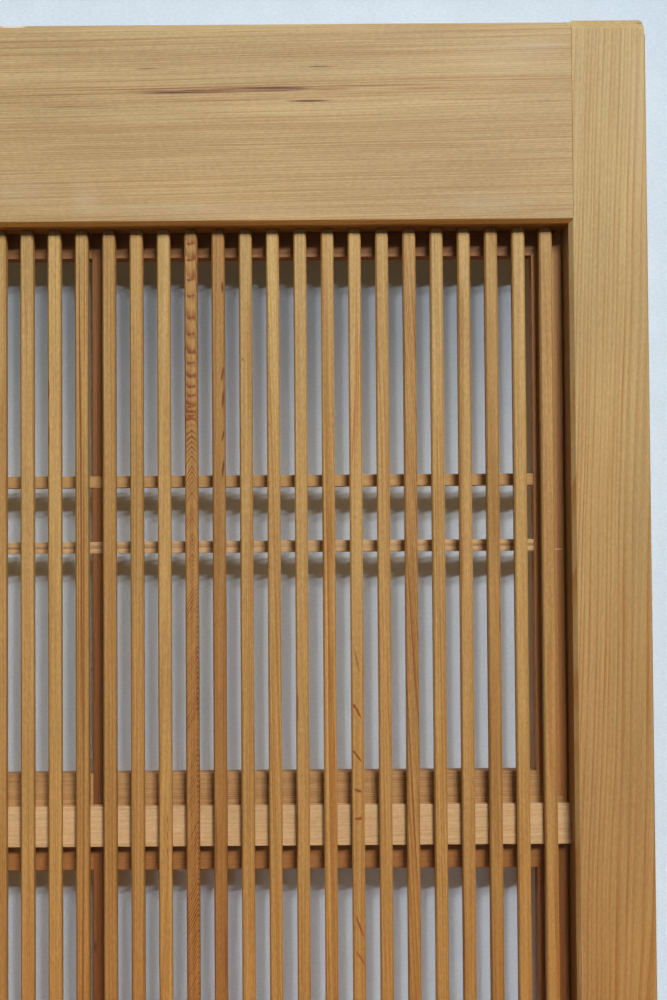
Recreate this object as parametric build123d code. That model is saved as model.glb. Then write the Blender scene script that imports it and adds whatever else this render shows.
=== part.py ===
from build123d import *
import os

# A sliding screen of fine upright slats, with two lift-out frames resting behind the slats.
# Millimetres. X runs across the screen, Z runs up, and the front faces -Y.
# The origin is at the middle of the foot. Depths are counted backwards from the front face.

# Outer frame
overall_width = 606.0
overall_height = 1212.0
frame_thickness = 36.0
stile_width = 43.0
horn_height = 1.5
top_rail_height = 112.0
mid_rail_height = 22.0
bottom_rail_height = 112.0
upper_bay_height = 317.5
opening_chamfer = 2.5
head_chamfer = 5.0
edge_chamfer = 1.0
horn_chamfer = 1.3
horn_relief = 0.7

# Joints of the outer frame
tenon_thickness = 12.0
tenon_depth = 12.0
tenon_inset = 14.0
tenon_spacing = 12.0
mid_tenon_inset = 1.5
mid_tenon_cheek = 3.0

# Guides that run in a head groove and a sill groove
guide_thickness = 20.0
head_guide_height = 9.0
sill_guide_height = 3.0

# Slats
slat_count = 34
slat_width = 7.1
slat_thickness = 6.0
slat_setback = 9.0
slat_chamfer = 0.9
slat_shoulder_cut = 1.4
slat_shoulder_drop = 2.0
slat_front_cut = 0.6
slat_housing_depth = 1.0
slat_tenon_length = 6.0
slat_tenon_width = 3.6
slat_tenon_thickness = 3.0
slat_tenon_clearance = 0.15
slat_end_clearance = 0.5

# Inner frames
inner_member_width = 17.0
inner_thickness = 10.0
inner_setback = 20.0
inner_side_clearance = 1.0
inner_tuck = 3.0
inner_tongue_height = 3.0
inner_tongue_thickness = 6.0
inner_tongue_inset = 2.0
groove_face_clearance = 0.3
groove_end_clearance = 0.5
corner_tenon_thickness = 3.4
corner_tenon_margin = 4.0

# Thin bars of the inner frames
bar_width = 6.5
bar_thickness = 8.0
bar_spacing = 36.5
bar_tenon_length = 5.0
bar_tenon_thickness = 3.2
bar_tenon_shoulder = 1.0
upper_bar_pairs = 1
lower_bar_pairs = 2

# Places worked out from the sizes above
half_width = overall_width / 2
half_opening = half_width - stile_width
opening_width = 2 * half_opening
top_rail_top = overall_height - horn_height
top_rail_low = top_rail_top - top_rail_height
mid_rail_top = top_rail_low - upper_bay_height
mid_rail_low = mid_rail_top - mid_rail_height
bottom_rail_top = bottom_rail_height
slat_back = slat_setback + slat_thickness
slat_tenon_front = slat_setback + (slat_thickness - slat_tenon_thickness) / 2
slat_tenon_back = slat_tenon_front + slat_tenon_thickness
mid_rail_front = slat_back - slat_housing_depth
slat_gap = (opening_width - slat_count * slat_width) / (slat_count + 1)
slat_pitch = slat_width + slat_gap
slat_centres = [-half_opening + slat_gap + slat_width / 2 + k * slat_pitch for k in range(slat_count)]
inner_back = inner_setback + inner_thickness
inner_half_width = half_opening - inner_side_clearance
tongue_front = inner_back - inner_tongue_thickness
top_groove_depth = inner_tuck + groove_end_clearance
foot_groove_depth = inner_tongue_height + groove_end_clearance
lift_groove_depth = top_groove_depth + inner_tongue_height


def at_depth(depth):
    """The Y of a depth behind the front face."""
    return depth - frame_thickness / 2


def run_across(section, start, end):
    """Extrudes a section of (depth, height) points along X."""
    points = [(at_depth(depth), height) for depth, height in section]
    face = Plane.YZ.offset(start) * Polygon(*points, align=None)
    return extrude(face, amount=end - start, dir=(1, 0, 0))


def run_up(section, start, end):
    """Extrudes a section of (x, depth) points along Z."""
    points = [(x, at_depth(depth)) for x, depth in section]
    face = Plane.XY.offset(start) * Polygon(*points, align=None)
    return extrude(face, amount=end - start, dir=(0, 0, 1))


def run_back(outline, start, end):
    """Extrudes a front view of (x, height) points backwards from one depth to another."""
    plane = Plane(origin=(0, at_depth(start), 0), x_dir=(1, 0, 0), z_dir=(0, -1, 0))
    return extrude(plane * Polygon(*outline, align=None), amount=end - start, dir=(0, 1, 0))


def block(x_range, depth_range, height_range):
    """A plain squared block between two X, two depths and two heights."""
    (left, right), (low, high) = x_range, height_range
    return run_back([(left, low), (right, low), (right, high), (left, high)], *depth_range)


def mirrored(shape):
    """The same shape on the other side of the middle of the screen."""
    return mirror(shape, about=Plane.YZ)


def rail_tenons(low, high):
    """Height ranges of the two through tenons of a deep rail between two heights."""
    first, last = low + tenon_inset, high - tenon_inset
    height = (last - first - tenon_spacing) / 2
    return [(first, first + height), (last - height, last)]


top_tenons = rail_tenons(top_rail_low + lift_groove_depth, top_rail_top - head_guide_height)
bottom_tenons = rail_tenons(sill_guide_height, bottom_rail_top - slat_tenon_length)
mid_tenon = (
    mid_rail_low + lift_groove_depth + mid_tenon_inset,
    mid_rail_top - foot_groove_depth - mid_tenon_inset,
)
deep_tenon_depths = (tenon_depth, tenon_depth + tenon_thickness)
mid_tenon_depths = (mid_rail_front + mid_tenon_cheek, frame_thickness - mid_tenon_cheek)


def tenon_blocks(depth_range, heights):
    """Through tenons at both ends of a rail, from the stile's inner face to its outer edge."""
    rights = [block((half_opening, half_width), depth_range, pair) for pair in heights]
    return rights + [mirrored(tenon) for tenon in rights]


def slat_mortises(low, high):
    """One blind mortise for each slat's tenon, between two heights of a deep rail."""
    half = slat_tenon_width / 2 + slat_tenon_clearance
    depths = (slat_tenon_front - slat_tenon_clearance, slat_tenon_back + slat_tenon_clearance)
    return [block((x - half, x + half), depths, (low, high)) for x in slat_centres]


def lift_groove(low):
    """Front, back and top of the deep groove above an inner frame, which lets the frame be lifted out."""
    front = inner_setback - groove_face_clearance
    return front, inner_back + groove_face_clearance, low + lift_groove_depth


def foot_groove(high):
    """Front, back and bottom of the shallow groove that holds the tongue under an inner frame."""
    front = tongue_front - groove_face_clearance
    return front, inner_back + groove_face_clearance, high - foot_groove_depth


def mitred_lip(rail, edge, sign):
    """Leaves the front skin of a rail's ends as a lip, mitred where the opening's chamfers meet.

    The edge is the height of the rail's side towards the opening, and sign is the way from there
    into the rail.
    """
    tip = half_opening + opening_chamfer
    behind = block((half_opening, tip), (opening_chamfer, frame_thickness), (0, overall_height))
    corner = [(half_opening, edge), (tip, edge), (tip, edge + sign * opening_chamfer)]
    wedge = run_back(corner, 0, opening_chamfer)
    for cut in (behind, wedge):
        rail = rail - cut - mirrored(cut)
    return rail


def lip_seat(edge, end, sign):
    """The step in a stile's inner front arris that takes the lip of a rail."""
    tip = half_opening + opening_chamfer
    outline = [(half_opening, edge), (tip, edge + sign * opening_chamfer), (tip, end), (half_opening, end)]
    return run_back(outline, 0, opening_chamfer)


def make_stile():
    """The right-hand stile, full height, with its horn, mortises and chamfers."""
    tip = half_opening + opening_chamfer
    section = [
        (tip, 0),
        (half_width - edge_chamfer, 0),
        (half_width, edge_chamfer),
        (half_width, frame_thickness - edge_chamfer),
        (half_width - edge_chamfer, frame_thickness),
        (half_opening, frame_thickness),
        (half_opening, opening_chamfer),
    ]
    stile = run_up(section, 0, overall_height)
    stile -= lip_seat(top_rail_low, overall_height, 1)
    stile -= lip_seat(bottom_rail_top, 0, -1)
    for depth_range, heights in (
        (deep_tenon_depths, top_tenons + bottom_tenons),
        (mid_tenon_depths, [mid_tenon]),
    ):
        stile -= [block((half_opening, half_width), depth_range, pair) for pair in heights]
    return stile - guide_rebates() - head_slope(horn_height) - horn_cuts()


def guide_rebates():
    """What is taken off the back of the head and foot to leave the two guides."""
    across = (-half_width, half_width)
    depths = (guide_thickness, frame_thickness)
    head = block(across, depths, (top_rail_top - head_guide_height, overall_height))
    foot = block(across, depths, (0, sill_guide_height))
    return [head, foot]


def head_slope(rise):
    """The sloped front arris along the head, rising past the rail's top by a given amount."""
    top = top_rail_top + rise
    slope = head_chamfer + rise
    return run_across([(0, top - slope), (0, top), (slope, top)], -half_width, half_width)


def horn_cuts():
    """Small cuts at the horn's two upper corners, and the relief of its outer edge for the head groove."""
    top = overall_height
    corner = top - horn_chamfer
    inner = half_opening + opening_chamfer
    outer = half_width - horn_relief
    relief_low = top_rail_top - head_guide_height
    cuts = [
        [(half_opening, corner), (inner, corner), (inner + horn_chamfer, top), (half_opening, top)],
        [(outer, corner), (outer, top), (outer - horn_chamfer, top)],
        [(outer, relief_low + horn_chamfer), (half_width, relief_low), (half_width, top), (outer, top)],
    ]
    return [run_back(cut, 0, frame_thickness) for cut in cuts]


def make_top_rail():
    """The deep top rail, with slat mortises and the lift groove in its underside."""
    groove_front, groove_back, groove_top = lift_groove(top_rail_low)
    section = [
        (0, top_rail_low + opening_chamfer),
        (opening_chamfer, top_rail_low),
        (groove_front, top_rail_low),
        (groove_front, groove_top),
        (groove_back, groove_top),
        (groove_back, top_rail_low),
        (frame_thickness, top_rail_low),
        (frame_thickness, top_rail_top),
        (0, top_rail_top),
    ]
    reach = half_opening + opening_chamfer
    rail = mitred_lip(run_across(section, -reach, reach), top_rail_low, 1)
    rail -= slat_mortises(top_rail_low, top_rail_low + slat_tenon_length)
    rail = rail - guide_rebates() - head_slope(0)
    return rail + tenon_blocks(deep_tenon_depths, top_tenons)


def make_bottom_rail():
    """The deep bottom rail, with slat mortises and the foot groove in its top."""
    groove_front, groove_back, groove_low = foot_groove(bottom_rail_top)
    section = [
        (0, 0),
        (frame_thickness, 0),
        (frame_thickness, bottom_rail_top),
        (groove_back, bottom_rail_top),
        (groove_back, groove_low),
        (groove_front, groove_low),
        (groove_front, bottom_rail_top),
        (opening_chamfer, bottom_rail_top),
        (0, bottom_rail_top - opening_chamfer),
    ]
    reach = half_opening + opening_chamfer
    rail = mitred_lip(run_across(section, -reach, reach), bottom_rail_top, -1)
    rail -= slat_mortises(bottom_rail_top - slat_tenon_length, bottom_rail_top)
    rail -= guide_rebates()
    return rail + tenon_blocks(deep_tenon_depths, bottom_tenons)


def make_mid_rail():
    """The rail behind the slats, housed for each slat and grooved above and below."""
    foot_front, foot_back, foot_low = foot_groove(mid_rail_top)
    lift_front, lift_back, lift_top = lift_groove(mid_rail_low)
    section = [
        (mid_rail_front, mid_rail_low),
        (lift_front, mid_rail_low),
        (lift_front, lift_top),
        (lift_back, lift_top),
        (lift_back, mid_rail_low),
        (frame_thickness, mid_rail_low),
        (frame_thickness, mid_rail_top),
        (foot_back, mid_rail_top),
        (foot_back, foot_low),
        (foot_front, foot_low),
        (foot_front, mid_rail_top),
        (mid_rail_front, mid_rail_top),
    ]
    rail = run_across(section, -half_opening, half_opening)
    half = slat_width / 2
    depths = (mid_rail_front, slat_back)
    rail -= [block((x - half, x + half), depths, (mid_rail_low, mid_rail_top)) for x in slat_centres]
    return rail + tenon_blocks(mid_tenon_depths, [mid_tenon])


def make_slat(x):
    """One upright slat, standing in its mortise in the bottom rail."""
    half = slat_width / 2
    section = [
        (x - half, slat_setback + slat_chamfer),
        (x - half + slat_chamfer, slat_setback),
        (x + half - slat_chamfer, slat_setback),
        (x + half, slat_setback + slat_chamfer),
        (x + half, slat_back),
        (x - half, slat_back),
    ]
    low, high = bottom_rail_top, top_rail_low
    shoulder = half - slat_shoulder_cut
    front_view = [
        (x - half, low + slat_shoulder_drop),
        (x - shoulder, low),
        (x + shoulder, low),
        (x + half, low + slat_shoulder_drop),
        (x + half, high - slat_shoulder_drop),
        (x + shoulder, high),
        (x - shoulder, high),
        (x - half, high - slat_shoulder_drop),
    ]
    slat = run_up(section, low, high) & run_back(front_view, slat_setback, slat_back)
    cut_back = slat_setback + slat_front_cut
    for end, inside in ((low, low + slat_front_cut), (high, high - slat_front_cut)):
        slat -= run_across([(slat_setback, inside), (cut_back, end), (slat_setback, end)], x - half, x + half)
    tenon_x = (x - slat_tenon_width / 2, x + slat_tenon_width / 2)
    tenon_depths = (slat_tenon_front, slat_tenon_back)
    foot = (low - slat_tenon_length, low)
    head = (high, high + slat_tenon_length - slat_end_clearance)
    return slat + [block(tenon_x, tenon_depths, foot), block(tenon_x, tenon_depths, head)]


def pair_heights(low, high, pairs):
    """Middle heights of the paired bars, with the pairs spread evenly between two heights."""
    step = (high - low) / (pairs + 1)
    middles = [low + step * (k + 1) for k in range(pairs)]
    return [middle + offset for middle in reversed(middles) for offset in (bar_spacing / 2, -bar_spacing / 2)]


def corner_tenons(low, high):
    """The hidden tenons that each rail of an inner frame sends into the two uprights."""
    middle = inner_setback + inner_thickness / 2
    depths = (middle - corner_tenon_thickness / 2, middle + corner_tenon_thickness / 2)
    across = (inner_half_width - inner_member_width, inner_half_width - corner_tenon_margin)
    tenons = []
    for edge, sign in ((low, 1), (high, -1)):
        right = block(across, depths, (edge + sign * corner_tenon_margin, edge + sign * inner_member_width))
        tenons.append([right, mirrored(right)])
    return tenons


def make_inner_frame(name, low, high, pairs):
    """One lift-out frame between two heights: mitred members, paired bars and one upright bar."""
    width, half, back = inner_member_width, inner_half_width, inner_back
    foot_tenons, head_tenons = corner_tenons(low, high)
    bar_back = inner_setback + bar_thickness
    lap = inner_setback + bar_thickness / 2
    heights = pair_heights(low + width, high - width, pairs)
    lap_across = (-bar_width / 2, bar_width / 2)

    upright_outline = [(half, low), (half, high), (half - width, high - width), (half - width, low + width)]
    upright = run_back(upright_outline, inner_setback, back)
    upright -= [foot_tenons[0], head_tenons[0]]
    bar_middle = inner_setback + bar_thickness / 2
    tenon_depths = (bar_middle - bar_tenon_thickness / 2, bar_middle + bar_tenon_thickness / 2)
    tenon_half = bar_width / 2 - bar_tenon_shoulder
    tenon_start = half - width
    sockets = [
        block((tenon_start, tenon_start + bar_tenon_length), tenon_depths, (z - tenon_half, z + tenon_half))
        for z in heights
    ]
    upright -= sockets

    head_outline = [(-half, high), (half, high), (half - width, high - width), (width - half, high - width)]
    head = run_back(head_outline, inner_setback, back) + head_tenons
    head -= block(lap_across, (inner_setback, lap), (high - width, high))

    foot_outline = [(-half, low), (half, low), (half - width, low + width), (width - half, low + width)]
    foot = run_back(foot_outline, inner_setback, back) + foot_tenons
    foot -= block(lap_across, (inner_setback, lap), (low, low + width))
    tongue_half = half - inner_tongue_inset
    foot += block((-tongue_half, tongue_half), (tongue_front, back), (low - inner_tongue_height, low))

    spine = block(lap_across, (inner_setback, bar_back), (low + width, high - width))
    spine += block(lap_across, (inner_setback, lap), (low, high))
    bars = {}
    for number, (z, socket) in enumerate(zip(heights, sockets), start=1):
        across = (z - bar_width / 2, z + bar_width / 2)
        bar = block((-tenon_start, tenon_start), (inner_setback, bar_back), across)
        bar = bar + socket + mirrored(socket) - block(lap_across, (lap, bar_back), across)
        spine -= block(lap_across, (inner_setback, lap), across)
        bars[f"{name}_bar_{number}"] = bar

    return {
        f"{name}_left_upright": mirrored(upright),
        f"{name}_right_upright": upright,
        f"{name}_top_member": head,
        f"{name}_bottom_member": foot,
        f"{name}_upright_bar": spine,
        **bars,
    }


stile = make_stile()
nodes = {
    "left_stile": mirrored(stile),
    "right_stile": stile,
    "top_rail": make_top_rail(),
    "mid_rail": make_mid_rail(),
    "bottom_rail": make_bottom_rail(),
}
for number, x in enumerate(slat_centres, start=1):
    nodes[f"slat_{number:02d}"] = make_slat(x)
nodes.update(make_inner_frame("upper_frame", mid_rail_top, top_rail_low + inner_tuck, upper_bar_pairs))
nodes.update(make_inner_frame("lower_frame", bottom_rail_top, mid_rail_low + inner_tuck, lower_bar_pairs))

os.makedirs("parts", exist_ok=True)
for name, shape in nodes.items():
    export_step(shape, f"parts/{name}.step")
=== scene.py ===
import math
import random

import bpy
from mathutils import Matrix, Vector


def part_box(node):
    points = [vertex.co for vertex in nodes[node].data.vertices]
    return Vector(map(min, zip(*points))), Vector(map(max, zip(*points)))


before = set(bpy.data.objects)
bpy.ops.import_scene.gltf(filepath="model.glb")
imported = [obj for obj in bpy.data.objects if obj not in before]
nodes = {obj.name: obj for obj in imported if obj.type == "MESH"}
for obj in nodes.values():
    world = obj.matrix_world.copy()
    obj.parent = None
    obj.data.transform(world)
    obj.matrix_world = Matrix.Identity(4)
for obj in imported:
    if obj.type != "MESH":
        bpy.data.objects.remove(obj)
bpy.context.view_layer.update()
draw = random.Random(23)


def rgb(red, green, blue):
    """The linear colour that shaders take, from one given as it looks on a screen, from 0 to 255."""

    def linear(c):
        c /= 255
        return c / 12.92 if c <= 0.04045 else ((c + 0.055) / 1.055) ** 2.4

    return (linear(red), linear(green), linear(blue), 1.0)


def add(tree, kind, inputs=None, **settings):
    """A new node. inputs gives each of its inputs a value, or another node's output to be linked to."""
    made = tree.nodes.new(kind)
    for key, value in settings.items():
        setattr(made, key, value)
    for key, value in (inputs or {}).items():
        if isinstance(value, bpy.types.NodeSocket):
            tree.links.new(value, made.inputs[key])
        else:
            made.inputs[key].default_value = value
    return made


def maths(tree, operation, a, b=0.0, c=0.0, clamp=False):
    made = add(tree, "ShaderNodeMath", {0: a, 1: b, 2: c}, operation=operation, use_clamp=clamp)
    return made.outputs[0]


def vector(tree, operation, a, b=(0.0, 0.0, 0.0)):
    made = add(tree, "ShaderNodeVectorMath", {0: a, 1: b}, operation=operation)
    return made.outputs["Value" if operation in ("LENGTH", "DOT_PRODUCT") else "Vector"]


def scaled(tree, a, factor):
    made = add(tree, "ShaderNodeVectorMath", {0: a, "Scale": factor}, operation="SCALE")
    return made.outputs["Vector"]


def noise(tree, place, detail=2.0, rough=0.5, colour=False):
    made = add(
        tree,
        "ShaderNodeTexNoise",
        {"Vector": place, "Scale": 1.0, "Detail": detail, "Roughness": rough},
    )
    return made.outputs["Color" if colour else "Fac"]


def blend(tree, factor, a, b, how="MIX"):
    made = add(tree, "ShaderNodeMix", {0: factor, 6: a, 7: b}, data_type="RGBA", blend_type=how)
    return made.outputs[2]


def ramp(tree, value, from_low, from_high, to_low, to_high, smooth=True):
    made = add(
        tree,
        "ShaderNodeMapRange",
        {0: value, 1: from_low, 2: from_high, 3: to_low, 4: to_high},
        interpolation_type="SMOOTHSTEP" if smooth else "LINEAR",
    )
    return made.outputs[0]


# How fine each pattern in the wood is, across and along the grain, in waves a millimetre.
DRIFT = (0.035, 0.006)
JITTER = (0.5, 0.02)
BREAKS = (0.25, 0.012)
FIBRES = (3.2, 0.05)
PORES = (1.5, 0.16)
CLOUDS = (0.04, 0.009)
STREAKS = (0.75, 0.01)
GRIT = (1.2, 0.35)
# How far apart two pieces lie in these patterns, and how far jitter moves a ring, in millimetres.
SEED_STEP = 37.0
JITTER_REACH = 0.35
# How fast the rings change in width and in tone, a millimetre and a ring.
SPURT_RATE = 0.09
BAND_RATE = 0.16
# Where in a year's growth the dark line sets in and ends, and how dark the palest year's is.
LINE_RISE = (0.25, 0.86)
LINE_FALL = (0.9, 1.0)
PALEST_YEAR = 0.3
# Where fibres break that line, how much is left of it there, and which pores show as dashes.
LINE_BREAKS = (0.3, 0.62)
LINE_LEFT = (0.55, 1.1)
PORE_SHOWS = (0.6, 0.78)
# What the fibres add to the share of late wood, and what it starts from.
FIBRE_SHARE = 0.35
BASE_SHARE = 0.18
# How far clouds and fibres change the lightness.
CLOUD_LIFT = 0.35
FIBRE_LIFT = 0.14


def pattern(tree, place, fineness, **settings):
    across, along = fineness
    return noise(tree, vector(tree, "MULTIPLY", place, (across, across, along)), **settings)


def along_years(tree, place, seed, **settings):
    made = add(tree, "ShaderNodeCombineXYZ", {0: place, 1: seed})
    return noise(tree, made.outputs[0], **settings)


def centred(tree, value):
    return maths(tree, "SUBTRACT", value, 0.5)


def centred_colour(tree, value):
    return vector(tree, "SUBTRACT", value, (0.5, 0.5, 0.5))


def sharpened(tree, value):
    return ramp(tree, value, 0.3, 0.7, -0.5, 0.5)


def make_timber_group():
    """Sawn timber as a solid: rings round a pith that runs along local Z, in millimetres."""
    tree = bpy.data.node_groups.new("timber", "ShaderNodeTree")
    numbers = ("Shift", "Seed", "Ring", "Wave", "Uneven", "Contrast", "Banding", "Fleck", "Streak", "Grit")
    sockets = [("Grain", "INPUT", "NodeSocketVector")]
    sockets += [(name, "INPUT", "NodeSocketFloat") for name in numbers]
    sockets += [(name, "INPUT", "NodeSocketColor") for name in ("Early", "Late")]
    sockets += [("Colour", "OUTPUT", "NodeSocketColor")]
    sockets += [(name, "OUTPUT", "NodeSocketFloat") for name in ("Line", "Fibre")]
    for name, way, kind in sockets:
        tree.interface.new_socket(name, in_out=way, socket_type=kind)
    given = tree.nodes.new("NodeGroupInput").outputs
    seeded = add(tree, "ShaderNodeCombineXYZ", {0: given["Seed"], 1: given["Seed"], 2: given["Seed"]})
    place = vector(tree, "ADD", given["Grain"], scaled(tree, seeded.outputs[0], SEED_STEP))

    # The rings wander, slowly over the whole piece and a little at each fibre.
    drift = centred_colour(tree, pattern(tree, place, DRIFT, detail=1.0, colour=True))
    drift = vector(tree, "MULTIPLY", scaled(tree, drift, given["Wave"]), (1.0, 1.0, 0.0))
    jitter = centred_colour(tree, pattern(tree, place, JITTER, detail=1.0, colour=True))
    jitter = vector(tree, "MULTIPLY", jitter, (JITTER_REACH, JITTER_REACH, 0.0))
    bent = vector(tree, "ADD", vector(tree, "ADD", given["Grain"], drift), jitter)
    radius = vector(tree, "LENGTH", vector(tree, "MULTIPLY", bent, (1.0, 1.0, 0.0)))
    radius = maths(tree, "ADD", radius, given["Shift"])

    # Years of fast and of slow growth, then one dark line a year that sets in softly and ends sharply.
    spurt = centred(tree, along_years(tree, maths(tree, "MULTIPLY", radius, SPURT_RATE), given["Seed"]))
    even = maths(tree, "DIVIDE", radius, given["Ring"])
    rings = maths(tree, "MULTIPLY_ADD", spurt, given["Uneven"], even)
    phase = maths(tree, "FRACT", rings)
    rise = ramp(tree, phase, *LINE_RISE, 0.0, 1.0)
    fall = ramp(tree, phase, *LINE_FALL, 1.0, 0.0)
    line = maths(tree, "MULTIPLY", rise, fall)
    year = add(
        tree,
        "ShaderNodeTexWhiteNoise",
        {"W": maths(tree, "ADD", maths(tree, "FLOOR", rings), given["Seed"])},
        noise_dimensions="1D",
    )
    darkness = ramp(tree, year.outputs["Value"], 0.0, 1.0, PALEST_YEAR, 1.0, smooth=False)
    line = maths(tree, "MULTIPLY", line, darkness)
    broken = pattern(tree, place, BREAKS, detail=2.0)
    line = maths(tree, "MULTIPLY", line, ramp(tree, broken, *LINE_BREAKS, *LINE_LEFT))

    band = along_years(tree, maths(tree, "MULTIPLY", rings, BAND_RATE), given["Seed"], rough=0.6)
    band = centred(tree, band)

    fibre = centred(tree, pattern(tree, place, FIBRES, detail=3.0, rough=0.6))
    pores = pattern(tree, place, PORES, detail=2.0, rough=0.65)
    cloud = centred(tree, pattern(tree, place, CLOUDS, detail=2.0))
    streak = sharpened(tree, pattern(tree, place, STREAKS, detail=2.0, rough=0.6))
    grit = sharpened(tree, pattern(tree, place, GRIT, detail=2.0, rough=0.7))

    amount = maths(tree, "MULTIPLY", line, given["Contrast"])
    amount = maths(tree, "MULTIPLY_ADD", band, given["Banding"], amount)
    amount = maths(tree, "MULTIPLY_ADD", fibre, FIBRE_SHARE, amount)
    amount = maths(tree, "MULTIPLY_ADD", streak, given["Streak"], amount)
    amount = maths(tree, "ADD", amount, BASE_SHARE, clamp=True)
    colour = blend(tree, amount, given["Early"], given["Late"])
    dash = ramp(tree, pores, *PORE_SHOWS, 0.0, 1.0)
    dash = maths(tree, "MULTIPLY", dash, given["Fleck"], clamp=True)
    colour = blend(tree, dash, colour, given["Late"])
    lift = maths(tree, "MULTIPLY_ADD", cloud, CLOUD_LIFT, 1.0)
    lift = maths(tree, "MULTIPLY_ADD", fibre, FIBRE_LIFT, lift)
    lift = maths(tree, "MULTIPLY_ADD", grit, given["Grit"], lift)
    shade = add(tree, "ShaderNodeHueSaturation", {"Value": lift, "Color": colour})

    out = tree.nodes.new("NodeGroupOutput").inputs
    tree.links.new(shade.outputs[0], out["Colour"])
    tree.links.new(line, out["Line"])
    tree.links.new(fibre, out["Fibre"])
    return tree


TIMBER = make_timber_group()
UP, ALONG = "up", "along"
# The wood is a deeper orange low down. Faces turned aside from the front are tinted orange as painted shade,
# and faces that look down a deeper, warmer orange, also as painted shade. Each of these tints is multiplied
# in.
TAN_AND_PAINTED_SHADE = (232, 192, 150)
PAINTED_SOFFIT_SHADE = (255, 196, 118)
TAN_FULL_BELOW, TAN_GONE_ABOVE = 0.62, 1.2
END_GRAIN = (178, 150, 128)
# A painted highlight that the front arrises are blended towards.
PAINTED_ARRIS_HIGHLIGHT = (226, 182, 126)
# Which way a face looks, as the cosine of its angle to the front, to straight up or to the grain's run.
TURNED_ASIDE = (0.7, 0.95)
LOOKS_UP = (0.1, 0.5)
LOOKS_DOWN = (-0.6, -0.3)
ARRIS_STARTS = (0.74, 0.84)
ARRIS_ENDS = (0.9, 0.99)
CUT_ACROSS = (0.75, 0.95)
END_GRAIN_SHARE = 0.55
# What fibres and ring lines add to the roughness and to the relief, and how high the relief is, in metres.
FIBRE_ROUGHNESS, LINE_ROUGHNESS = 0.25, -0.08
FIBRE_RELIEF, LINE_RELIEF = 0.8, 0.5
RELIEF = 0.0001
SPECULAR = 0.18
# The fibres that break up a mark on an upright piece, in waves a millimetre.
THREADS = (1.6, 0.5, 0.03)


def spot(tree, place, centre, half, turn, rim):
    """1 in the middle of an ellipse on the front, and 0 outside it. All in millimetres, turn in degrees."""
    x, z = centre
    made = add(
        tree,
        "ShaderNodeMapping",
        {
            "Vector": place,
            "Location": (x / 1000, 0, z / 1000),
            "Rotation": (0, -math.radians(turn), 0),
            "Scale": (half[0] / 1000, 10.0, half[1] / 1000),
        },
        vector_type="TEXTURE",
    )
    return ramp(tree, vector(tree, "LENGTH", made.outputs[0]), rim, 1.0, 1.0, 0.0)


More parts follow.
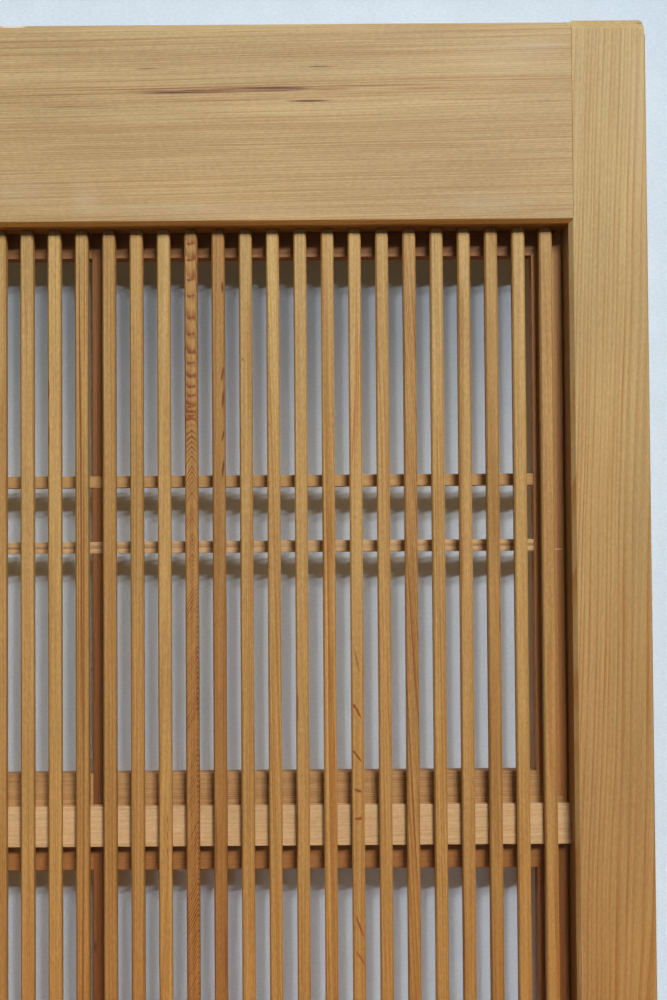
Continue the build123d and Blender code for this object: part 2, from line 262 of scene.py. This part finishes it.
def timber(
    name,
    run,
    pith,
    ring=1.2,
    tilt=(0.0, 0.0),
    wave=2.0,
    uneven=7.0,
    contrast=0.6,
    banding=0.5,
    fleck=0.3,
    streak=0.4,
    grit=0.16,
    early=(194, 162, 114),
    late=(160, 112, 62),
    rough=0.55,
    bump=0.25,
    arris=0.0,
    sheltered=0.75,
    marks=(),
    warp=None,
):
    """A material for one piece.

    pith is the point that the rings go round, in millimetres from the piece's middle. ring is their width.
    sheltered is how deep the orange of painted shade is on faces turned aside, and arris how strong the
    painted highlight on the front arrises is.
    warp gives a node that adds to the distance from the pith, where the grain curls.
    marks are (centre, half sizes, turn, colour, strength, where the rim starts, how far fibres break it up).
    """
    low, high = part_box(name)
    middle = (low + high) / 2
    material = bpy.data.materials.new(name + "_timber")
    material.use_nodes = True
    tree = material.node_tree
    tree.nodes.clear()
    coordinates = add(tree, "ShaderNodeTexCoord")
    place = coordinates.outputs["Object"]
    if run == UP:
        turn = (math.radians(tilt[0]), math.radians(tilt[1]), 0)
        axis = (0, 0, 1)
    else:
        turn = (0, math.radians(90 - tilt[1]), math.radians(tilt[0]))
        axis = (1, 0, 0)
    grain = add(
        tree,
        "ShaderNodeMapping",
        {
            "Vector": place,
            "Location": [m + p / 1000 for m, p in zip(middle, pith)],
            "Rotation": turn,
            "Scale": (0.001, 0.001, 0.001),
        },
        vector_type="TEXTURE",
    ).outputs[0]
    values = {
        "Grain": grain,
        "Seed": round(draw.uniform(0, 90), 2),
        "Ring": ring,
        "Wave": wave,
        "Uneven": uneven,
        "Contrast": contrast,
        "Banding": banding,
        "Fleck": fleck,
        "Streak": streak,
        "Grit": grit,
        "Early": rgb(*early),
        "Late": rgb(*late),
    }
    if warp:
        values["Shift"] = warp(tree, place)
    body = add(tree, "ShaderNodeGroup", values, node_tree=TIMBER)
    colour, line, fibre = (body.outputs[k] for k in ("Colour", "Line", "Fibre"))

    height = add(tree, "ShaderNodeSeparateXYZ", {0: place}).outputs["Z"]
    normal = coordinates.outputs["Normal"]
    front = vector(tree, "DOT_PRODUCT", normal, (0.0, -1.0, 0.0))
    deep = ramp(tree, height, TAN_FULL_BELOW, TAN_GONE_ABOVE, 1.0, 0.0, smooth=False)
    upward = vector(tree, "DOT_PRODUCT", normal, (0.0, 0.0, 1.0))
    flat = maths(tree, "ABSOLUTE", front)
    # Painted shade: faces turned aside from the front, unless they look up, get the orange tint, and faces
    # that look down a deeper one.
    turned = ramp(tree, flat, *TURNED_ASIDE, sheltered, 0.0)
    turned = maths(tree, "MULTIPLY", turned, ramp(tree, upward, *LOOKS_UP, 1.0, 0.0))
    tan_and_shade = maths(tree, "MAXIMUM", deep, turned)
    down = ramp(tree, upward, *LOOKS_DOWN, 1.0, 0.0)
    tone = blend(tree, down, rgb(*TAN_AND_PAINTED_SHADE), rgb(*PAINTED_SOFFIT_SHADE))
    colour = blend(tree, tan_and_shade, colour, blend(tree, 1.0, colour, tone, "MULTIPLY"))
    # Painted highlight: a pale line blended into the front arrises.
    if arris:
        painted_highlight = ramp(tree, front, *ARRIS_STARTS, 0.0, arris)
        painted_highlight = maths(tree, "MULTIPLY", painted_highlight, ramp(tree, front, *ARRIS_ENDS, 1.0, 0.0))
        colour = blend(tree, painted_highlight, colour, rgb(*PAINTED_ARRIS_HIGHLIGHT))

    if any(mark[-1] for mark in marks):
        stretch = THREADS[::-1] if run == ALONG else THREADS
        stretched = vector(tree, "MULTIPLY", place, stretch)
        threads = noise(tree, scaled(tree, stretched, 1000.0), detail=2.0)
    for centre, half, turn_of_mark, tint, strength, rim, breaking in marks:
        mask = spot(tree, place, centre, half, turn_of_mark, rim)
        if breaking:
            gaps = ramp(tree, threads, 0.5 - 0.2 / breaking, 0.5 + 0.2 / breaking, 0.0, 1.0)
            mask = maths(tree, "MULTIPLY", mask, gaps)
        mask = maths(tree, "MULTIPLY", mask, strength)
        colour = blend(tree, mask, colour, rgb(*tint))

    facing = maths(tree, "ABSOLUTE", vector(tree, "DOT_PRODUCT", normal, axis))
    end_grain = ramp(tree, facing, *CUT_ACROSS, 0.0, END_GRAIN_SHARE)
    colour = blend(tree, end_grain, colour, blend(tree, 1.0, colour, rgb(*END_GRAIN), "MULTIPLY"))

    roughness = maths(tree, "MULTIPLY_ADD", fibre, FIBRE_ROUGHNESS, rough)
    roughness = maths(tree, "MULTIPLY_ADD", line, LINE_ROUGHNESS, roughness)
    relief = maths(tree, "MULTIPLY_ADD", fibre, FIBRE_RELIEF, maths(tree, "MULTIPLY", line, LINE_RELIEF))
    raised = add(
        tree,
        "ShaderNodeBump",
        {"Strength": bump, "Distance": RELIEF, "Height": relief},
    ).outputs[0]
    shader = add(
        tree,
        "ShaderNodeBsdfPrincipled",
        {
            "Base Color": colour,
            "Roughness": roughness,
            "Normal": raised,
            "Specular IOR Level": SPECULAR,
        },
    )
    output = add(tree, "ShaderNodeOutputMaterial", {"Surface": shader.outputs[0]})
    output.is_active_output = True
    return material


SOFT_EDGE = 0.0003


def dress(name, run, pith, edge=SOFT_EDGE, **look):
    """Gives a CAD node its timber and softly rounded arrises, without touching its mesh."""
    material = timber(name, run, pith, **look)
    piece = nodes[name]
    if piece.material_slots:
        for held in piece.material_slots:
            held.material = material
    else:
        piece.data.materials.append(material)
    weld = piece.modifiers.new("weld", "WELD")
    weld.merge_threshold = 0.00001
    round_off = piece.modifiers.new("soft_arris", "BEVEL")
    round_off.width = edge
    round_off.segments = 2
    round_off.limit_method = "ANGLE"
    round_off.angle_limit = math.radians(25)
    round_off.harden_normals = True


# The outer frame. Its marks are placed in millimetres, as x and z.
WORN = (198, 182, 156)
PITCH = (96, 58, 52)
rail_marks = (
    ((66, 1172.6), (66, 2.6), 0.9, (136, 86, 58), 0.9, 0.3, 2.0),
    ((30, 1173.4), (64, 0.5), 0.8, (136, 86, 58), 0.85, 0.1, 0.0),
    ((66, 1171.4), (44, 0.6), 0.9, (128, 80, 58), 0.9, 0.1, 0.0),
    ((150, 1174.6), (60, 0.5), 0.8, (136, 86, 58), 0.8, 0.1, 0.0),
    ((-16, 1170.6), (50, 0.5), 1.0, (146, 96, 62), 0.8, 0.1, 0.0),
    ((76, 1166.8), (44, 0.5), 0.6, (146, 96, 62), 0.7, 0.1, 0.0),
    ((44, 1171.4), (24, 0.9), 0.6, PITCH, 0.9, 0.2, 0.0),
    ((52, 1172.6), (30, 1.4), 0.7, PITCH, 0.9, 0.2, 2.0),
    ((98, 1173.6), (28, 0.9), 0.8, PITCH, 0.9, 0.2, 0.0),
    ((100, 1172.6), (30, 1.6), 0.9, PITCH, 0.9, 0.2, 2.0),
    ((119, 1166.3), (16, 0.9), 0.4, PITCH, 0.9, 0.3, 0.0),
    ((133, 1172.4), (16, 1.0), 0.6, (150, 92, 64), 0.9, 0.4, 1.4),
    ((-12, 1163.8), (30, 0.7), 1.4, (146, 96, 66), 0.8, 0.3, 1.4),
    ((31, 1184.6), (10, 0.6), 1.0, PITCH, 0.6, 0.1, 0.0),
    ((125, 1185.2), (13, 0.6), 0.5, PITCH, 0.7, 0.1, 0.0),
    ((246, 1165.4), (20, 0.7), 1.0, (146, 78, 50), 0.9, 0.3, 1.6),
    ((200, 1166.4), (50, 0.6), 1.0, (156, 98, 64), 0.7, 0.2, 1.4),
    ((180, 1172.8), (70, 0.7), 0.7, (156, 98, 64), 0.7, 0.2, 1.4),
    ((244, 1196.5), (22, 4.2), 0.0, WORN, 0.5, 0.2, 0.6),
    ((-4, 1114), (12, 13), 8.0, WORN, 0.5, 0.1, 0.5),
    ((-40, 1118), (34, 12), -4.0, WORN, 0.4, 0.0, 0.5),
    ((215, 1110), (40, 8), 0.0, WORN, 0.42, 0.1, 0.5),
    ((60, 1107), (90, 6), 0.0, WORN, 0.42, 0.1, 0.5),
    ((150, 1150), (70, 14), 3.0, (176, 140, 92), 0.3, 0.0, 0.5),
    ((230, 1190), (46, 12), 0.0, WORN, 0.35, 0.0, 0.5),
    ((-44, 1209.6), (9, 0.9), 0.0, (228, 214, 190), 0.9, 0.6, 0.0),
)
dress(
    "top_rail",
    ALONG,
    (0, 40, 420),
    ring=1.35,
    tilt=(0.0, 1.0),
    wave=2.2,
    contrast=0.52,
    banding=0.48,
    streak=0.32,
    early=(192, 168, 122),
    late=(154, 113, 69),
    arris=0.5,
    sheltered=0.9,
    marks=rail_marks,
)
dress(
    "bottom_rail",
    ALONG,
    (0, 60, -520),
    ring=1.2,
    tilt=(0.0, -0.8),
    wave=6.0,
    contrast=0.5,
    banding=0.7,
    early=(194, 170, 124),
    late=(155, 113, 70),
    arris=0.5,
    marks=(
        ((-90, 40), (46, 0.9), -1.0, PITCH, 0.6, 0.0, 2.0),
        ((120, 20), (60, 9), 0.0, WORN, 0.35, 0.1, 0.5),
    ),
)
dress(
    "right_stile",
    UP,
    (30, 39, 0),
    ring=1.6,
    tilt=(0.0, 2.2),
    wave=3.0,
    contrast=0.66,
    banding=0.38,
    streak=0.25,
    early=(192, 171, 122),
    late=(168, 120, 62),
    arris=0.5,
    sheltered=0.4,
    marks=(
        ((300.6, 1209.3), (2.4, 0.9), 0.0, (110, 96, 84), 0.8, 0.3, 0.0),
        # A pale streak along the inner arris: wear and a painted highlight.
        ((262, 690), (1.4, 46), 0.0, (214, 180, 138), 0.45, 0.0, 1.4),
        ((298, 1150), (5, 60), 0.0, WORN, 0.25, 0.1, 0.5),
    ),
)
dress(
    "left_stile",
    UP,
    (-36, -44, 0),
    ring=1.7,
    tilt=(0.0, -1.6),
    wave=3.0,
    contrast=0.5,
    banding=0.35,
    streak=0.22,
    early=(193, 171, 124),
    late=(168, 120, 63),
    arris=0.5,
    sheltered=0.4,
    marks=(((-298, 420), (4, 50), 0.0, WORN, 0.3, 0.1, 0.5),),
)
dress(
    "mid_rail",
    ALONG,
    (0, 12, -60),
    ring=1.6,
    tilt=(0.6, 1.2),
    wave=7.0,
    contrast=0.35,
    banding=0.55,
    early=(212, 198, 166),
    late=(188, 158, 118),
    arris=0.4,
    edge=0.0004,
)

# The slats. Each was ripped from its own board, so pith, rings and tint differ from one to the next. Slats 14
# to 34 have one of five tones, and the tints of the others are drawn.
PALE_TONE = (1.01, 1.0, 0.97)
PLAIN_TONE = (0.98, 0.96, 0.93)
WARM_TONE = (0.96, 0.93, 0.88)
TAWNY_TONE = (0.93, 0.89, 0.83)
BROWN_TONE = (0.88, 0.80, 0.72)
SLAT_TONES = {
    PALE_TONE: (16, 20, 24, 26, 27, 30, 33),
    PLAIN_TONE: (14, 15, 23, 25, 28, 31, 34),
    WARM_TONE: (17, 19, 29),
    TAWNY_TONE: (18, 21, 32),
    BROWN_TONE: (22,),
}
SLATS = 34
SLAT_PITCH = 15.06
FIRST_SLAT = -248.49
RED_STREAK = (138, 70, 34)


def slat_middle(number):
    return FIRST_SLAT + SLAT_PITCH * (number - 1)


# One slat was cut across curly grain. Its depths count down from CURL_TOP, in millimetres. SWEEP holds the
# factors of the curve that its rings follow down to CURL_DEPTH, and SWEEP_BELOW their slope under it. ARCH is
# how steeply they rise to the middle above and below ARCH_DEPTHS.
CURLY_SLAT = 21
CURL_TOP = 1104.0
CURL_DEPTH = 131.0
SWEEP = (0.0000142, -0.00184, 0.168)
SWEEP_BELOW = 0.36
SLANT_DEPTHS = (175.0, 215.0)
ARCH_DEPTHS = (95.0, 150.0)
ARCH = (-0.06, 0.75)


def curl(tree, place):
    """Rings that cross the slat ever closer together from its top down, then arch, then slant."""
    parts = add(tree, "ShaderNodeSeparateXYZ", {0: scaled(tree, place, 1000.0)}).outputs
    below = maths(tree, "SUBTRACT", CURL_TOP, parts["Z"])
    near = maths(tree, "MINIMUM", below, CURL_DEPTH)
    swept = maths(tree, "MULTIPLY_ADD", near, SWEEP[0], SWEEP[1])
    swept = maths(tree, "MULTIPLY_ADD", near, swept, SWEEP[2])
    swept = maths(tree, "MULTIPLY", near, swept)
    beyond = maths(tree, "MAXIMUM", maths(tree, "SUBTRACT", below, CURL_DEPTH), 0.0)
    swept = maths(tree, "MULTIPLY_ADD", beyond, SWEEP_BELOW, swept)
    aside = maths(tree, "SUBTRACT", parts["X"], slat_middle(CURLY_SLAT) + 0.4)
    arched = maths(tree, "ABSOLUTE", aside)
    slanted = maths(tree, "MULTIPLY", aside, -1.0)
    change = maths(tree, "SUBTRACT", slanted, arched)
    side = maths(tree, "MULTIPLY_ADD", ramp(tree, below, *SLANT_DEPTHS, 0.0, 1.0), change, arched)
    arch = ramp(tree, below, *ARCH_DEPTHS, *ARCH)
    return maths(tree, "MULTIPLY_ADD", side, maths(tree, "MULTIPLY", arch, -1.0), swept)


# Short strokes sag across the curly slat, closer and closer together.
CROSSINGS = (1090, 1081, 1070, 1061, 1049, 1040, 1030, 1024, 1017, 1011, 1006, 1000, 995)
curls = []
for k, z in enumerate(CROSSINGS):
    lean = 4.0 if k % 3 else -6.0
    curls.append(((-0.9, z + 0.1), (1.8, 1.15), lean - 12.0, (122, 66, 38), 0.95, 0.35))
    curls.append(((1.3, z + 0.4), (1.6, 1.0), lean + 14.0, (130, 72, 42), 0.85, 0.35))

# Marks as timber takes them, but x counts from the middle of the slat, and no fibre breaks them up.
slat_marks = {
    16: (
        ((-2.8, 1010), (0.7, 7), 0.0, (150, 92, 44), 0.8, 0.5),
        ((-2.8, 985), (0.7, 9), 0.0, (150, 92, 44), 0.8, 0.5),
    ),
    17: (
        ((-0.9, 1030), (0.5, 70), 0.2, (128, 70, 32), 0.85, 0.4),
        ((-0.2, 930), (0.55, 170), 0.2, (124, 66, 30), 0.9, 0.4),
        ((1.1, 850), (0.5, 150), -0.1, (128, 70, 32), 0.9, 0.4),
        ((-1.7, 900), (0.35, 130), 0.0, (150, 88, 44), 0.7, 0.3),
        ((0.3, 690), (0.55, 120), -0.2, (124, 66, 30), 0.9, 0.4),
    ),
    20: tuple(((1.2, z), (0.5, 3.0), 0.0, (140, 80, 40), 0.7, 0.5) for z in (775, 766, 757)),
    CURLY_SLAT: tuple(curls),
    22: (
        ((2.5, 1066), (0.8, 4), 0.0, (96, 54, 30), 0.9, 0.5),
        ((2.3, 1018), (0.8, 5), -8.0, (110, 62, 34), 0.9, 0.5),
        ((2.5, 1004), (0.8, 6), -4.0, (104, 58, 32), 0.9, 0.5),
        ((2.4, 984), (0.7, 4), -10.0, (110, 62, 34), 0.9, 0.5),
        ((2.4, 966), (0.8, 6), -6.0, (96, 54, 30), 0.9, 0.5),
        ((-2.0, 760), (0.6, 30), 0.6, (120, 66, 34), 0.7, 0.5),
        ((2.6, 700), (0.6, 24), 0.0, (110, 62, 34), 0.7, 0.5),
    ),
    23: (((-1.6, 1026), (0.5, 1.0), 0.0, (140, 76, 34), 0.8, 0.5),),
    24: tuple(
        ((-2.6 + 0.4 * (k % 2), z), (0.45, 1.1), 0.0, (150, 88, 42), 0.8, 0.5)
        for k, z in enumerate((1062, 1044, 1018, 990, 958, 941, 912))
    ),
    25: (
        ((-2.6, 835), (0.5, 12), 0.0, RED_STREAK, 0.8, 0.5),
        ((-3.0, 770), (0.6, 22), 0.0, RED_STREAK, 0.8, 0.5),
    ),
    27: (
        ((0.9, 1020), (0.35, 36), -1.6, (180, 104, 56), 0.8, 0.5),
        ((1.6, 1010), (0.35, 44), -2.2, (176, 100, 54), 0.7, 0.5),
        ((-1.2, 985), (0.4, 26), -3.0, (172, 92, 50), 0.8, 0.5),
        ((-0.4, 861), (0.7, 10), 11.0, RED_STREAK, 0.7, 0.3),
        ((0, 832.7), (0.8, 5.4), 27.0, RED_STREAK, 1.0, 0.5),
        ((-1.8, 835.6), (1.0, 1.8), 20.0, RED_STREAK, 1.0, 0.4),
        ((0, 808), (0.8, 4.6), 36.0, RED_STREAK, 1.0, 0.5),
        ((-1.9, 810.6), (1.0, 1.5), 40.0, RED_STREAK, 1.0, 0.4),
        ((0, 789.6), (1.0, 2.8), 68.0, RED_STREAK, 1.0, 0.5),
        ((0, 774.4), (1.0, 2.8), 90.0, RED_STREAK, 1.0, 0.5),
        ((0.9, 774.6), (0.8, 1.5), 0.0, RED_STREAK, 0.9, 0.4),
        ((0.4, 716), (0.9, 8), 20.0, RED_STREAK, 0.85, 0.5),
        ((0.8, 699), (0.9, 6), 30.0, (150, 78, 38), 0.85, 0.5),
        ((0.6, 674), (0.9, 5), 40.0, (150, 78, 38), 0.85, 0.5),
    ),
    29: (
        ((-1.5, 905), (0.4, 48), 3.4, (140, 82, 38), 0.85, 0.4),
        ((-0.3, 880), (0.35, 52), 3.8, (140, 82, 38), 0.85, 0.4),
        ((0.9, 858), (0.4, 46), 3.6, (132, 74, 34), 0.85, 0.4),
        ((-1.0, 800), (0.35, 42), 3.4, (140, 82, 38), 0.8, 0.4),
        ((0.5, 765), (0.4, 46), 3.2, (132, 74, 34), 0.8, 0.4),
    ),
    32: (
        ((2.9, 905), (0.5, 8), 0.0, (140, 84, 40), 0.7, 0.5),
        ((2.9, 882), (0.5, 9), 0.0, (132, 76, 36), 0.7, 0.5),
        ((2.6, 806), (0.5, 22), 0.0, (140, 84, 40), 0.6, 0.5),
    ),
}

slat_look = {
    17: dict(contrast=0.6, ring=1.5),
    20: dict(contrast=0.25, tilt=(0.5, 1.0)),
    CURLY_SLAT: dict(
        ring=1.0,
        contrast=0.9,
        wave=1.0,
        uneven=0.0,
        warp=curl,
        early=(194, 164, 110),
        late=(140, 88, 46),
        fleck=0.3,
    ),
    22: dict(contrast=0.5, fleck=0.6),
    24: dict(tilt=(0.0, -1.2), contrast=0.5),
    27: dict(tilt=(0.0, 0.6), contrast=0.3),
    29: dict(tilt=(0.0, -2.6), contrast=0.75, ring=1.1, late=(150, 98, 50)),
}
for number in range(1, SLATS + 1):
    name = f"slat_{number:02d}"
    tone = draw.uniform(0.95, 1.04)
    warmth = draw.uniform(-0.03, 0.03)
    drawn = (tone, tone * (1 - warmth * 0.5), tone * (0.97 - warmth))
    tint = next((t for t, numbers in SLAT_TONES.items() if number in numbers), drawn)
    look = dict(
        ring=draw.uniform(0.9, 1.7),
        tilt=(draw.uniform(-0.6, 0.6), draw.uniform(-0.5, 0.5)),
        wave=draw.uniform(0.8, 2.2),
        contrast=draw.uniform(0.34, 0.64),
        banding=draw.uniform(0.35, 0.65),
        fleck=draw.uniform(0.25, 0.55),
        streak=0.46,
        grit=0.24,
        early=(195, 170, 116),
        late=(159, 114, 58),
    )
    look.update(slat_look.get(number, {}))
    look["early"] = tuple(min(255, c * t) for c, t in zip(look["early"], tint))
    look["late"] = tuple(min(255, c * t) for c, t in zip(look["late"], tint))
    angle = draw.uniform(0, math.tau)
    reach = draw.uniform(25, 90)
    pith = (0.4, 70, 0) if number == CURLY_SLAT else (reach * math.cos(angle), reach * math.sin(angle), 0)
    marks = [
        ((slat_middle(number) + x, z), half, turn, tint_of_mark, strength, rim, 0.0)
        for (x, z), half, turn, tint_of_mark, strength, rim in slat_marks.get(number, ())
    ]
    dress(name, UP, pith, marks=marks, rough=0.52, bump=0.2, sheltered=0.5, **look)

# The two lattice frames behind. Their members differ in tone, the upper one's bottom being the palest.
MEMBER_EARLY = {
    ("upper", "top"): (148, 108, 68),
    ("upper", "bottom"): (192, 166, 124),
    ("lower", "top"): (166, 128, 82),
    ("lower", "bottom"): (166, 128, 82),
}
MEMBER_LATE = {
    ("upper", "top"): (112, 74, 44),
    ("upper", "bottom"): (142, 112, 76),
    ("lower", "top"): (130, 90, 52),
    ("lower", "bottom"): (130, 90, 52),
}
for where, bars in (("upper", 2), ("lower", 4)):
    for side, sign in (("left", -1), ("right", 1)):
        name = f"{where}_frame_{side}_upright"
        dress(
            name,
            UP,
            (sign * 30, 40, 0),
            ring=1.3,
            wave=2.0,
            contrast=0.4,
            early=(190, 148, 98) if where == "upper" else (158, 116, 76),
            late=(152, 106, 62) if where == "upper" else (122, 82, 48),
            marks=(((255.4, 920.5), (3.6, 0.4), 0.0, (226, 190, 156), 0.9, 0.5, 0.0),) if sign > 0 else (),
        )
    for level in ("top", "bottom"):
        name = f"{where}_frame_{level}_member"
        pale = where == "upper" and level == "bottom"
        dress(
            name,
            ALONG,
            (0, 8, 90),
            ring=0.8 if pale else 1.2,
            tilt=(0.0, 0.15),
            wave=1.5,
            contrast=0.75 if pale else 0.4,
            banding=0.3,
            early=MEMBER_EARLY[where, level],
            late=MEMBER_LATE[where, level],
            fleck=0.5,
        )
    name = f"{where}_frame_upright_bar"
    dress(
        name,
        UP,
        (24, 20, 0),
        ring=1.2,
        contrast=0.5,
        early=(138, 97, 56),
        late=(98, 62, 34),
        marks=(((-2.6, 703), (1.8, 4.5), 0.0, (70, 40, 26), 0.8, 0.1, 0.0),) if where == "lower" else (),
    )
    for number in range(1, bars + 1):
        name = f"{where}_frame_bar_{number}"
        lined = number % 2 == 0
        dress(
            name,
            ALONG,
            (0, 30, 16),
            ring=1.5 if lined else 1.1,
            tilt=(0.0, 0.1),
            wave=1.2,
            contrast=0.6 if lined else 0.25,
            banding=0.3,
            early=(206, 182, 142) if lined else (182, 152, 104),
            late=(148, 120, 84) if lined else (154, 120, 76),
        )


# The room: a pale wall close behind, and a pale floor. Neither is part of the screen.
PALE = (210, 224, 236)
WALL_BACK = 0.025
WALL_HALF, WALL_FOOT, WALL_TOP = 2.0, -0.002, 2.6
FLOOR_HALF = 7.0
# The part of the wall that is seen through the lattice, which carries painted shade, and how softly that
# painted shade ends.
SHADE_HALF, SHADE_FOOT, SHADE_HEAD, SHADE_EDGE = 0.27, 0.1, 1.115, 0.015
# The tints of the painted shade behind the lattice and of the deeper painted shade high up, and the heights
# in metres over which the deeper one sets in.
PAINTED_WALL_SHADE = (248, 248, 249)
PAINTED_HIGH_WALL_SHADE = (209, 211, 216)
HIGH_FROM = (0.95, 1.07)
# The weave of the wall's cover, in waves a metre, and how far from the screen the floor's glow grows.
WEAVE = (420.0, 1.0, 900.0)
GLOW_GROWS = (1.0, 2.2)


def plane(name, corners):
    mesh = bpy.data.meshes.new(name)
    mesh.from_pydata(corners, [], [tuple(range(len(corners)))])
    made = bpy.data.objects.new(name, mesh)
    bpy.context.scene.collection.objects.link(made)
    return made


def backdrop_material(name, centre, solid, gone, bounce, wall_like, glow):
    """A pale matt surface that fades out with distance, so that no edge of it shows.

    glow is the share of its paleness that the camera sees without any lamp, and grows to 1 far away.
    A wall is seen from its front alone, is woven, and carries painted shade behind the lattice, deepest high
    up.
    """
    material = bpy.data.materials.new(name)
    material.use_nodes = True
    tree = material.node_tree
    tree.nodes.clear()
    place = add(tree, "ShaderNodeTexCoord").outputs["Object"]
    away = vector(tree, "LENGTH", vector(tree, "SUBTRACT", place, centre))
    fade = ramp(tree, away, solid, gone, 0.0, 1.0)
    if wall_like:
        back = add(tree, "ShaderNodeNewGeometry").outputs["Backfacing"]
        fade = maths(tree, "MAXIMUM", fade, back)
    mottle = noise(tree, scaled(tree, place, 60.0), detail=3.0)
    value = ramp(tree, mottle, 0.3, 0.7, 0.0, 1.0)
    colour = blend(tree, value, rgb(210, 225, 238), rgb(214, 229, 242))
    if wall_like:
        threads = noise(tree, vector(tree, "MULTIPLY", place, WEAVE), detail=1.0)
        threads = ramp(tree, threads, 0.35, 0.65, 0.0, 0.08)
        colour = blend(tree, threads, colour, rgb(120, 124, 132))
        # Painted shade: the wall is darker behind the lattice, and darker still high up under the top rail.
        parts = add(tree, "ShaderNodeSeparateXYZ", {0: place}).outputs
        aside = maths(tree, "ABSOLUTE", parts["X"])
        across = ramp(tree, aside, SHADE_HALF - SHADE_EDGE, SHADE_HALF + SHADE_EDGE, 1.0, 0.0)
        below = ramp(tree, parts["Z"], SHADE_FOOT - SHADE_EDGE, SHADE_FOOT + SHADE_EDGE, 0.0, 1.0)
        above = ramp(tree, parts["Z"], SHADE_HEAD - SHADE_EDGE, SHADE_HEAD + SHADE_EDGE, 1.0, 0.0)
        behind = maths(tree, "MULTIPLY", across, maths(tree, "MULTIPLY", below, above))
        high = maths(tree, "MULTIPLY", behind, ramp(tree, parts["Z"], *HIGH_FROM, 0.0, 1.0))
        colour = blend(tree, behind, colour, blend(tree, 1.0, colour, rgb(*PAINTED_WALL_SHADE), "MULTIPLY"))
        colour = blend(tree, high, colour, blend(tree, 1.0, colour, rgb(*PAINTED_HIGH_WALL_SHADE), "MULTIPLY"))
    bounced = add(tree, "ShaderNodeLightPath").outputs["Is Diffuse Ray"]
    colour = blend(tree, bounced, colour, rgb(*bounce))
    diffuse = add(tree, "ShaderNodeBsdfDiffuse", {"Color": colour, "Roughness": 0.0})
    clear = add(tree, "ShaderNodeBsdfTransparent")
    surface = diffuse.outputs[0]
    if glow:
        share = ramp(tree, away, *GLOW_GROWS, glow, 1.0)
        share = maths(tree, "MULTIPLY", add(tree, "ShaderNodeLightPath").outputs["Is Camera Ray"], share)
        pale = add(tree, "ShaderNodeEmission", {"Color": colour, "Strength": 1.0})
        surface = add(tree, "ShaderNodeMixShader", {0: share, 1: surface, 2: pale.outputs[0]}).outputs[0]
    mix = add(tree, "ShaderNodeMixShader", {0: fade, 1: surface, 2: clear.outputs[0]})
    add(tree, "ShaderNodeOutputMaterial", {"Surface": mix.outputs[0]})
    return material


wall = plane(
    "backdrop",
    [
        (-WALL_HALF, WALL_BACK, WALL_FOOT),
        (WALL_HALF, WALL_BACK, WALL_FOOT),
        (WALL_HALF, WALL_BACK, WALL_TOP),
        (-WALL_HALF, WALL_BACK, WALL_TOP),
    ],
)
wall.data.materials.append(
    backdrop_material(
        "backdrop_pale",
        centre=(0.0, WALL_BACK, 0.75),
        solid=0.75,
        gone=1.5,
        bounce=(190, 196, 200),
        wall_like=True,
        glow=0.0,
    )
)
wall.visible_shadow = False
CORNERS = ((-1, -1), (1, -1), (1, 1), (-1, 1))
floor = plane("floor", [(x * FLOOR_HALF, y * FLOOR_HALF, 0.0) for x, y in CORNERS])
floor.data.materials.append(
    backdrop_material(
        "floor_pale",
        centre=(0.0, 0.0, 0.0),
        solid=1.4,
        gone=4.5,
        bounce=(84, 72, 60),
        wall_like=False,
        glow=0.6,
    )
)

world = bpy.data.worlds.new("studio")
bpy.context.scene.world = world
world.use_nodes = True
tree = world.node_tree
tree.nodes.clear()
path = add(tree, "ShaderNodeLightPath").outputs
seen = maths(tree, "MAXIMUM", path["Is Camera Ray"], path["Is Transmission Ray"])
seen = maths(tree, "MAXIMUM", seen, path["Is Glossy Ray"])
fill = add(tree, "ShaderNodeBackground", {"Color": (1.0, 1.0, 1.0, 1.0), "Strength": 0.06})
pale = add(tree, "ShaderNodeBackground", {"Color": rgb(*PALE), "Strength": 1.0})
mixed = add(tree, "ShaderNodeMixShader", {0: seen, 1: fill.outputs[0], 2: pale.outputs[0]})
add(tree, "ShaderNodeOutputWorld", {"Surface": mixed.outputs[0]})


def lamp(name, place, target, size, power, spread=180.0):
    """A rectangular lamp at place, turned to target. Size is in metres, power in watts, spread in degrees."""
    light = bpy.data.lights.new(name, "AREA")
    light.shape = "RECTANGLE"
    light.size, light.size_y = size
    light.energy = power
    light.spread = math.radians(spread)
    made = bpy.data.objects.new(name, light)
    bpy.context.scene.collection.objects.link(made)
    made.location = place
    made.rotation_mode = "QUATERNION"
    made.rotation_quaternion = (Vector(place) - Vector(target)).to_track_quat("Z", "Y")
    return made


# Two strip lights high up at the front right throw the shadows on the wall.
TUBES = dict(target=(-0.83, 0.0, -0.58), size=(0.8, 0.06), spread=117.7)
lamp("tube_low", (0.73, -2.0, 2.14), power=21.8, **TUBES)
lamp("tube_high", (0.73, -2.0, 2.52), power=16.3, **TUBES)
lamp("low_fill", (-0.1, -3.76, 0.2), (0.0, 0.0, -0.184), size=(0.6, 0.3), power=1.76, spread=32.8)
# The lamp behind lights the back alone: seen in no gloss, it draws no bright line along the slats.
rear = lamp("back", (0.13, 4.0, 1.0), (0.13, 0.0, 0.6), size=(1.2, 0.6), power=78.0)
rear.visible_glossy = False

# The camera stands where the photograph was taken from. Angles in radians, sensor and lens in millimetres.
EYE = (0.1303, -0.7712, 0.9283)
YAW, TILT_UP, ROLL = -0.0005, 0.0263, -0.0069
SENSOR, FOCAL_LENGTH = 36.0, 50.04
lens = bpy.data.cameras.new("camera")
lens.sensor_width = SENSOR
lens.lens = FOCAL_LENGTH
lens.clip_start = 0.05
camera = bpy.data.objects.new("camera", lens)
bpy.context.scene.collection.objects.link(camera)
camera.matrix_world = (
    Matrix.Translation(EYE)
    @ Matrix.Rotation(YAW, 4, "Z")
    @ Matrix.Rotation(math.pi / 2 + TILT_UP, 4, "X")
    @ Matrix.Rotation(ROLL, 4, "Z")
)
bpy.context.scene.camera = camera
bpy.context.scene.view_settings.view_transform = "Standard"
